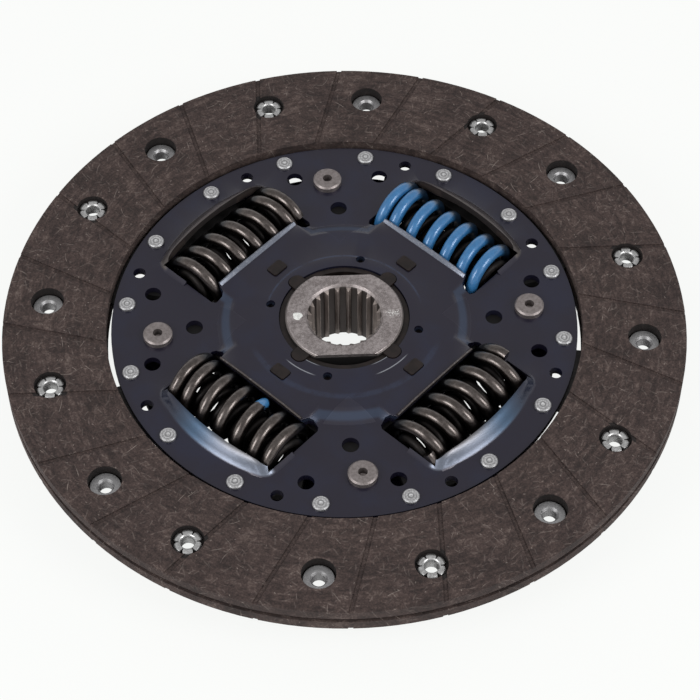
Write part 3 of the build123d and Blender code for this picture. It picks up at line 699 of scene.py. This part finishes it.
@dataclass(frozen=True)
class HubFinish:
    """Turned steel face, broached bore darker in its grooves, a scratched mark beside it and painted
    shade below.

    Attributes:
        face: The colour of the end face's bright spots.
        face_dark: The colour of its dull spots.
        tooth: The colour of the bore's teeth.
        groove_dark: The colour of the grooves between them.
        edge: The colour of the chamfers.
        black: The colour of the painted shade on the steel below the end face.
        scratch: The colour of the scratched mark.
        bore_r: The radius of the bore's lead, in millimetres.
        groove_r: The radius of the grooves' floors.
        flat_r: The distance of the flats from the axis, less their chamfer.
        outer_r: The radius of the end face.
        mark_x: The place of the scratched mark along X.
    """

    face: Colour = (0.48, 0.432, 0.428)
    face_dark: Colour = (0.205, 0.178, 0.174)
    tooth: Colour = (0.34, 0.285, 0.260)
    groove_dark: Colour = (0.038, 0.028, 0.025)
    edge: Colour = (0.135, 0.118, 0.112)
    black: Colour = (0.008, 0.007, 0.007)
    scratch: Colour = (0.90, 0.88, 0.86)
    bore_r: float = 12.2
    groove_r: float = 11.7
    flat_r: float = 14.0
    outer_r: float = 18.6
    mark_x: float = 15.2

    def _chamfers(self, surface: Surface, radius: Field) -> Field:
        """1 on the sloping edges of the end face, which are coloured darker."""
        below = surface.z.step(HUB_END_Z - 0.03, HUB_END_Z - 0.10)
        edge = below * surface.z.step(HUB_END_Z - 1.5, HUB_END_Z - 1.2)
        lead = radius.step(self.bore_r + 0.5, self.bore_r + 0.2) * 0.35
        return edge * lead.at_least(radius.step(self.outer_r - 0.5, self.outer_r - 0.3) * 0.85)

    def _mark(self, surface: Surface, cloud: Field) -> Field:
        """1 on the scratched mark, a wavering scribed line with nicks about it.

        Args:
            surface: The hub's surface.
            cloud: The noise that makes the line waver.

        Returns:
            The mark.
        """
        off = surface.x - self.mark_x
        on_face = surface.z.step(HUB_END_Z - 0.10, HUB_END_Z - 0.02)
        beside = off.band(0.0, 1.9, 0.5) * surface.y.band(0.0, 1.0, 0.5) * on_face
        nicks = surface.noise(0.42, 2.0, 0.5).step(0.53, 0.60)
        scribe = (surface.y + off * 0.28 + (cloud - 0.5) * 1.4).band(0.0, 0.02, 0.12)
        return beside * nicks.at_least(scribe)

    def material(self) -> bpy.types.Material:
        """Builds the hub's material."""
        s = Surface("hub_steel")
        radius = s.radius()
        mottle = s.noise(1.1, 4.0, 0.65)
        fine = s.noise(0.3, 2.0, 0.6)
        cloud = s.noise(5.0, 3.0)
        tone = (mottle * 0.45 + fine * 0.40 + cloud * 0.25).step(0.40, 0.72)
        colour = mix(s.graph, tone, self.face_dark, self.face)
        below = s.z.step(HUB_END_Z - 0.45, HUB_END_Z - 0.95)
        inside = radius.step(self.bore_r + 0.1, self.bore_r - 0.3) * below
        drag = s.noise(0.5, 3.0, 0.6, vector(s.x, s.y, s.z * 0.06, s.graph))
        crest = radius.step(self.groove_r - 0.08, self.groove_r - 0.40)
        crest = crest * (drag.step(0.2, 0.75) * 0.6 + 0.4)
        bore = mix(s.graph, crest, self.groove_dark, self.tooth)
        colour = mix(s.graph, inside, colour, bore)
        chamfer = self._chamfers(s, radius)
        colour = mix(s.graph, chamfer, colour, self.edge)
        # Painted shade: the hub's outer wall, and the flats below the end face, are coloured near
        # black.
        sunk = s.z.step(HUB_END_Z - 0.9, HUB_END_Z - 1.4) * radius.step(self.flat_r, self.flat_r + 0.5)
        shaded = radius.step(self.outer_r + 0.1, self.outer_r + 0.5).at_least(sunk)
        colour = mix(s.graph, shaded, colour, self.black)
        marks = self._mark(s, cloud)
        colour = mix(s.graph, marks * 0.9, colour, self.scratch)
        rough = mottle * 0.16 + 0.34 + inside * 0.06 + chamfer * 0.15 + shaded * 0.2
        height = mottle * 0.5 + fine * 0.4 - marks * 0.8
        metal = (1.0 - shaded * 0.6) * (1.0 - inside * 0.35) * 0.88
        return s.finish(colour, rough, metal, height, 0.02)


@dataclass(frozen=True)
class WireFinish:
    """Spring wire, oiled or painted.

    Attributes:
        name: The material's name.
        light: The colour of the wire.
        dark: Its colour in blotches and nicks.
        rough: The mean roughness.
        metal: The share of metal.
        coat: The weight of the wet film over it.
        dab: The place of a dab of blue paint in millimetres.
        paint: Whether the wire has paint all over, the dab or none.
        blue: The colour of the paint.
        blue_dark: Its colour in blotches.
        far_side_shade: The colour of the painted shade on the coils' far side.
        dab_r: The radius of the dab.
    """

    name: str
    light: Colour
    dark: Colour
    rough: float
    metal: float
    coat: float
    dab: Place = (0.0, 0.0, 0.0)
    paint: Paint = Paint.NONE
    blue: Colour = (0.034, 0.158, 0.350)
    blue_dark: Colour = (0.018, 0.098, 0.245)
    far_side_shade: Colour = (0.004, 0.006, 0.009)
    dab_r: float = 2.2

    @staticmethod
    def painted_far_shade(surface: Surface) -> Field:
        """1 on the lower half of each coil's side that faces +Y, which is painted in shade."""
        out = surface.square_radius() - SPRING_CIRCLE_R
        low = surface.z.step(FLANGE_Z + 11.25, FLANGE_Z + 9.75)
        return (out * surface.y.math("SIGN")).step(3.0, 6.8) * low

    def material(self) -> bpy.types.Material:
        """Builds the wire's material."""
        s = Surface(self.name)
        mottle = s.noise(1.6, 4.0, 0.6)
        speck = s.noise(0.45, 2.0, 0.6)
        blotch = (mottle * 0.6 + speck * 0.4).step(0.62, 0.40)
        colour: Tint = mix(s.graph, blotch, self.light, self.dark)
        metal: Number = self.metal
        if self.paint is Paint.ALL:
            colour = mix(s.graph, blotch * 0.5, self.blue, self.blue_dark)
        # Painted shade on the lower, far side of every coil.
        colour = mix(s.graph, self.painted_far_shade(s) * 0.92, colour, self.far_side_shade)
        if self.paint is Paint.DAB:
            x, y, z = self.dab
            off = ((s.x - x) ** 2.0 + (s.y - y) ** 2.0 + (s.z - z) ** 2.0).math("SQRT")
            paint = (off + (s.noise(0.8, 2.0) - 0.5) * 1.6).step(self.dab_r + 0.6, self.dab_r)
            colour = mix(s.graph, paint, colour, self.blue)
            metal = (1.0 - paint) * self.metal
        rough = mottle * 0.10 + (self.rough - 0.05)
        fixed = {"Coat Weight": self.coat, "Coat Roughness": 0.12}
        return s.finish(colour, rough, metal, mottle * 0.6 + speck * 0.4, 0.012, fixed)


@dataclass(frozen=True)
class PlasticFinish:
    """Dark moulded bush material with a bloom of oil.

    Attributes:
        name: The material's name.
        light: The colour of its bloom.
        dark: Its colour between.
        rough: The mean roughness.
    """

    name: str
    light: Colour
    dark: Colour
    rough: float = 0.45

    def material(self) -> bpy.types.Material:
        """Builds the plastic's material."""
        s = Surface(self.name)
        cloud = s.noise(3.0, 4.0, 0.6)
        grain = s.noise(0.4, 2.0)
        colour = mix(s.graph, (cloud * 0.7 + grain * 0.3).step(0.35, 0.65), self.dark, self.light)
        fixed = {"Specular IOR Level": 0.28}
        relief = grain * 0.6 + cloud * 0.4
        return s.finish(colour, cloud * 0.2 + (self.rough - 0.1), 0.0, relief, 0.02, fixed)


@dataclass
class Assembly:
    """What all sub-assemblies share: finding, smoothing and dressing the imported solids.

    Attributes:
        nodes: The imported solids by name.
    """

    nodes: Mapping[str, bpy.types.Object]

    def dress(self, name: str, material: bpy.types.Material, sharp_deg: float = 32.0) -> None:
        """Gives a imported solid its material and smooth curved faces.

        Args:
            name: The solid's name.
            material: The material for all of it.
            sharp_deg: Edges that turn more than this stay sharp.
        """
        solid = self.nodes[name]
        solid.data.materials.clear()
        solid.data.materials.append(material)
        for polygon in solid.data.polygons:
            polygon.material_index = 0
            polygon.use_smooth = True
        weld = solid.modifiers.new("weld", "WELD")
        weld.merge_threshold = 0.001 * MM
        split = solid.modifiers.new("sharp_edges", "EDGE_SPLIT")
        split.split_angle = math.radians(sharp_deg)
        LOG.info("dressed %s with %s", name, material.name)

    def dress_all(self, prefix: str, material: bpy.types.Material) -> None:
        """Dresses every solid whose name starts with the prefix."""
        for name in sorted(self.nodes):
            if name.startswith(prefix):
                self.dress(name, material)


@dataclass
class FrictionRing(Assembly):
    """Both facings, the cushion segments between them and the rivets that hold them."""

    def build(self) -> None:
        """Dresses the ring."""
        lining = LiningFinish().material()
        self.dress("front_facing", lining)
        self.dress("rear_facing", lining)
        segment = SteelFinish(
            name="segment_steel",
            light=(0.050, 0.047, 0.046),
            dark=(0.022, 0.020, 0.020),
            blotch=1.5,
            rough=0.42,
            metal=0.7,
        )
        self.dress_all("cushion_segment_", segment.material())
        star = SteelFinish(
            name="facing_rivet_steel",
            light=(0.60, 0.60, 0.60),
            dark=(0.34, 0.335, 0.33),
            blotch=0.7,
            rough=0.38,
        )
        self.dress("facing_rivets_front", star.material())
        head = SteelFinish(
            name="facing_rivet_head_steel",
            light=(0.48, 0.475, 0.48),
            dark=(0.29, 0.285, 0.29),
            blotch=0.35,
            rough=0.48,
        )
        self.dress("facing_rivets_rear", head.material())


@dataclass
class Damper(Assembly):
    """The two plates, their pins and rivets, the springs and the friction pack.

    Attributes:
        dab: The place of the dab of paint on the third spring, in millimetres.
    """

    dab: Place = (-26.6, -32.9, 25.2)

    def build(self) -> None:
        """Dresses the damper."""
        coating = CoatedPlateFinish().material()
        self.dress("front_plate", coating)
        self.dress("rear_plate", coating)
        pin = SteelFinish(
            name="stop_pin_steel",
            light=(0.32, 0.285, 0.28),
            dark=(0.20, 0.175, 0.17),
            blotch=0.9,
            rough=0.46,
            metal=0.85,
        )
        self.dress("stop_pins", pin.material())
        self.dress("plate_rivets", RivetFinish().material())
        self._springs()
        self._friction_pack()

    def _friction_pack(self) -> None:
        """Dresses the bush, the washers and the spring that press on the hub's flange."""
        washer = SteelFinish(
            name="washer_steel",
            light=(0.05, 0.047, 0.046),
            dark=(0.02, 0.019, 0.018),
            blotch=1.4,
            rough=0.45,
            metal=0.8,
        )
        steel = washer.material()
        self.dress("thrust_plate", steel)
        self.dress("disc_spring", steel)
        bush = PlasticFinish(
            name="bush_plastic",
            light=(0.016, 0.0105, 0.0095),
            dark=(0.007, 0.005, 0.0045),
            rough=0.42,
        )
        self.dress("front_bush", bush.material())
        compound = PlasticFinish(
            name="friction_compound",
            light=(0.03, 0.026, 0.023),
            dark=(0.014, 0.012, 0.010),
            rough=0.7,
        ).material()
        self.dress("front_friction_washer", compound)
        self.dress("rear_friction_ring", compound)

    def _springs(self) -> None:
        """Dresses the eight springs: one painted blue, one dabbed, the rest oiled steel, the inner ones
        near black as painted shade.
        """
        paints = {1: Paint.ALL, 2: Paint.NONE, 3: Paint.DAB, 4: Paint.NONE}
        for number, paint in paints.items():
            wire = WireFinish(
                name=f"outer_wire_{paint.name.lower()}_{number}",
                light=(0.125, 0.107, 0.100),
                dark=(0.070, 0.058, 0.053),
                rough=0.31,
                metal=0.1 if paint is Paint.ALL else 1.0,
                coat=0.42,
                dab=self.dab,
                paint=paint,
            )
            self.dress(f"outer_spring_{number}", wire.material())
        # Painted shade: the inner springs are dark oiled wire, coloured near black for the shaded
        # inside of the outer springs.
        inner = WireFinish(
            name="inner_wire",
            light=(0.012, 0.009, 0.008),
            dark=(0.004, 0.003, 0.003),
            rough=0.50,
            metal=0.7,
            coat=0.0,
        )
        self.dress_all("inner_spring_", inner.material())


@dataclass
class SplinedHub(Assembly):
    """The hub and the paint dot on its end.

    Attributes:
        dot_x: The dot's place along X in millimetres.
        dot_r: Its radius in millimetres.
        dot_height: How thick the paint stands, in millimetres.
        paint: The colour of the paint.
        paint_dull: Its colour where it is thin.
    """

    dot_x: float = -14.7
    dot_r: float = 1.5
    dot_height: float = 0.16
    paint: Colour = (0.78, 0.79, 0.76)
    paint_dull: Colour = (0.50, 0.50, 0.48)

    def build(self) -> None:
        """Dresses the hub and adds its paint dot."""
        self.dress("hub", HubFinish().material())
        data = self._drop()
        data.materials.append(self._paint())
        dot = bpy.data.objects.new("hub_paint_dot", data)
        bpy.context.scene.collection.objects.link(dot)
        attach(dot, "hub")
        LOG.info("added %s", dot.name)

    def _paint(self) -> bpy.types.Material:
        """Builds the chalky white paint."""
        s = Surface("white_marking_paint")
        chalk = s.noise(0.5, 3.0)
        colour = mix(s.graph, chalk.step(0.3, 0.7), self.paint_dull, self.paint)
        return s.finish(colour, 0.6, 0.0, chalk, 0.02)

    def _drop(self) -> bpy.types.Mesh:
        """Makes a flattened, slightly uneven drop on the hub's end face."""
        mesh = bmesh.new()
        bmesh.ops.create_uvsphere(mesh, u_segments=28, v_segments=12, radius=self.dot_r * MM)
        below = [v for v in mesh.verts if v.co.z < -1e-7]
        bmesh.ops.delete(mesh, geom=below, context="VERTS")
        for vertex in mesh.verts:
            turn = math.atan2(vertex.co.y, vertex.co.x)
            reach = 1.0 + 0.09 * math.sin(3 * turn + 0.6) + 0.05 * math.sin(5 * turn + 2.0)
            vertex.co.x *= reach
            vertex.co.y *= reach
            vertex.co.z *= self.dot_height / self.dot_r
        bmesh.ops.translate(mesh, verts=mesh.verts[:], vec=Vector((self.dot_x, 0.0, HUB_END_Z)) * MM)
        data = bpy.data.meshes.new("hub_paint_dot")
        mesh.to_mesh(data)
        mesh.free()
        for polygon in data.polygons:
            polygon.use_smooth = True
        return data


@dataclass
class Studio:
    """The pale floor, the lamps and the camera.

    Attributes:
        azimuth: The camera's azimuth in degrees, 0 looking along +Y.
        elevation: Its height above the horizon in degrees.
        roll: Its turn about its own axis in degrees.
        distance: How far it stands from its target, in metres.
        target: The point it looks at, in metres.
        lens: Its focal length in millimetres for a 36 mm wide picture.
        floor_size: The length of the floor's side, in metres.
        lamp_toward: The direction from the disc to the right-hand lamp.
        lamp_distance: How far off the lamps hang, in metres.
        lamp_size: The length of a lamp's side, in metres.
        lamp_watts: The power of each lamp.
        paper: The colour of the floor in the lamps' light.
        backdrop: The colour that the camera and polished metal see there.
        tent: How bright the tent is overhead, where its horizon is 1.
        shade_r: How far under the disc, in metres, its shade shows in polished metal.
    """

    azimuth: float = -2.181
    elevation: float = 52.789
    roll: float = -0.246
    distance: float = 0.7532
    target: Place = (0.00129, -0.01191, 0.0221)
    lens: float = 124.04
    floor_size: float = 6.0
    lamp_toward: Place = (0.65, -0.4, 0.64)
    lamp_distance: float = 1.2
    lamp_size: float = 0.5
    lamp_watts: float = 6.0
    paper: Colour = (0.80, 0.80, 0.80)
    backdrop: Colour = (0.975, 0.985, 0.97)
    tent: float = 0.58
    shade_r: float = 0.085

    def build(self) -> None:
        """Sets up the stage."""
        self._view_settings()
        self._world()
        self._floor()
        self._lamps()
        self._camera()

    @staticmethod
    def _view_settings() -> None:
        """Keeps colours as they are written."""
        bpy.context.scene.view_settings.view_transform = "Standard"

    def _world(self) -> None:
        """Surrounds the disc with an even tent that is white at the horizon."""
        world = bpy.data.worlds.new("studio_tent")
        world.use_nodes = True
        bpy.context.scene.world = world
        graph = Graph(world.node_tree)
        coordinates = graph.add("ShaderNodeTexCoord")
        parts = graph.add("ShaderNodeSeparateXYZ", {}, {0: coordinates.outputs["Generated"]})
        up = graph.field(parts, 2)
        tent = mix(graph, up.step(0.18, 0.5), (1.0, 1.0, 1.0), (self.tent, self.tent, self.tent))
        background = graph.add("ShaderNodeBackground", {}, {"Color": tent, "Strength": 1.0})
        graph.add("ShaderNodeOutputWorld", {}, {"Surface": background.outputs[0]})

    def _floor(self) -> None:
        """Lays a white floor that still takes a soft shadow."""
        mesh = bmesh.new()
        bmesh.ops.create_grid(mesh, x_segments=1, y_segments=1, size=self.floor_size / 2)
        data = bpy.data.meshes.new("floor")
        mesh.to_mesh(data)
        mesh.free()
        material = bpy.data.materials.new("floor_white")
        material.use_nodes = True
        graph = Graph(material.node_tree)
        path = graph.add("ShaderNodeLightPath")
        camera = graph.field(path, "Is Camera Ray")
        mirrored = graph.field(path, "Is Glossy Ray") + graph.field(path, "Is Transmission Ray")
        coordinates = graph.add("ShaderNodeTexCoord")
        place = coordinates.outputs["Object"]
        away = graph.add("ShaderNodeVectorMath", {"operation": "LENGTH"}, {0: place})
        reach = graph.field(away, "Value")
        bore = HubFinish.bore_r * MM
        open_floor = reach.step(self.shade_r, self.shade_r * 1.5)
        open_floor = open_floor.at_least(reach.step(bore, bore * 0.95))
        seen = (camera + mirrored * open_floor).at_most(1.0)
        paper = graph.add("ShaderNodeBsdfDiffuse", {}, {"Color": self.paper})
        glow = graph.add("ShaderNodeEmission", {}, {"Color": self.backdrop, "Strength": 1.0})
        shaders = {0: seen * 0.9, 1: paper.outputs[0], 2: glow.outputs[0]}
        blended = graph.add("ShaderNodeMixShader", {}, shaders)
        graph.add("ShaderNodeOutputMaterial", {}, {"Surface": blended.outputs[0]})
        data.materials.append(material)
        floor = bpy.data.objects.new("floor", data)
        bpy.context.scene.collection.objects.link(floor)

    def _lamp(self, name: str, toward: Place) -> None:
        """Hangs one square soft lamp.

        Args:
            name: The lamp's name.
            toward: The direction from the disc to the lamp.
        """
        data = bpy.data.lights.new(name, "AREA")
        data.size = self.lamp_size
        data.energy = self.lamp_watts
        lamp = bpy.data.objects.new(name, data)
        bpy.context.scene.collection.objects.link(lamp)
        way = Vector(toward).normalized()
        lamp.location = way * self.lamp_distance
        lamp.rotation_mode = "QUATERNION"
        lamp.rotation_quaternion = way.to_track_quat("Z", "Y")

    def _lamps(self) -> None:
        """Hangs a soft lamp to the left and one to the right of the camera."""
        x, y, z = self.lamp_toward
        self._lamp("left_softbox", (-x, y, z))
        self._lamp("right_softbox", (x, y, z))

    def _camera(self) -> None:
        """Places the camera at the photograph's viewpoint."""
        a, e, r = (math.radians(x) for x in (self.azimuth, self.elevation, self.roll))
        back = Vector((math.sin(a) * math.cos(e), -math.cos(a) * math.cos(e), math.sin(e)))
        right = Vector((math.cos(a), math.sin(a), 0.0))
        up = back.cross(right)
        side = right * math.cos(r) + up * math.sin(r)
        top = up * math.cos(r) - right * math.sin(r)
        data = bpy.data.cameras.new("camera")
        data.lens = self.lens
        data.sensor_width = 36.0
        data.clip_start = 0.05
        data.clip_end = 20.0
        camera = bpy.data.objects.new("camera", data)
        bpy.context.scene.collection.objects.link(camera)
        turn = Matrix((side, top, back)).transposed().to_4x4()
        place = Vector(self.target) + back * self.distance
        camera.matrix_world = Matrix.Translation(place) @ turn
        bpy.context.scene.camera = camera


def main() -> None:
    """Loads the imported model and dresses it."""
    logging.basicConfig(level=logging.INFO, format="%(name)s: %(message)s")
    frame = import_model()
    Studio().build()
    FrictionRing(frame["nodes"]).build()
    Damper(frame["nodes"]).build()
    SplinedHub(frame["nodes"]).build()


if __name__ == "__main__":
    main()
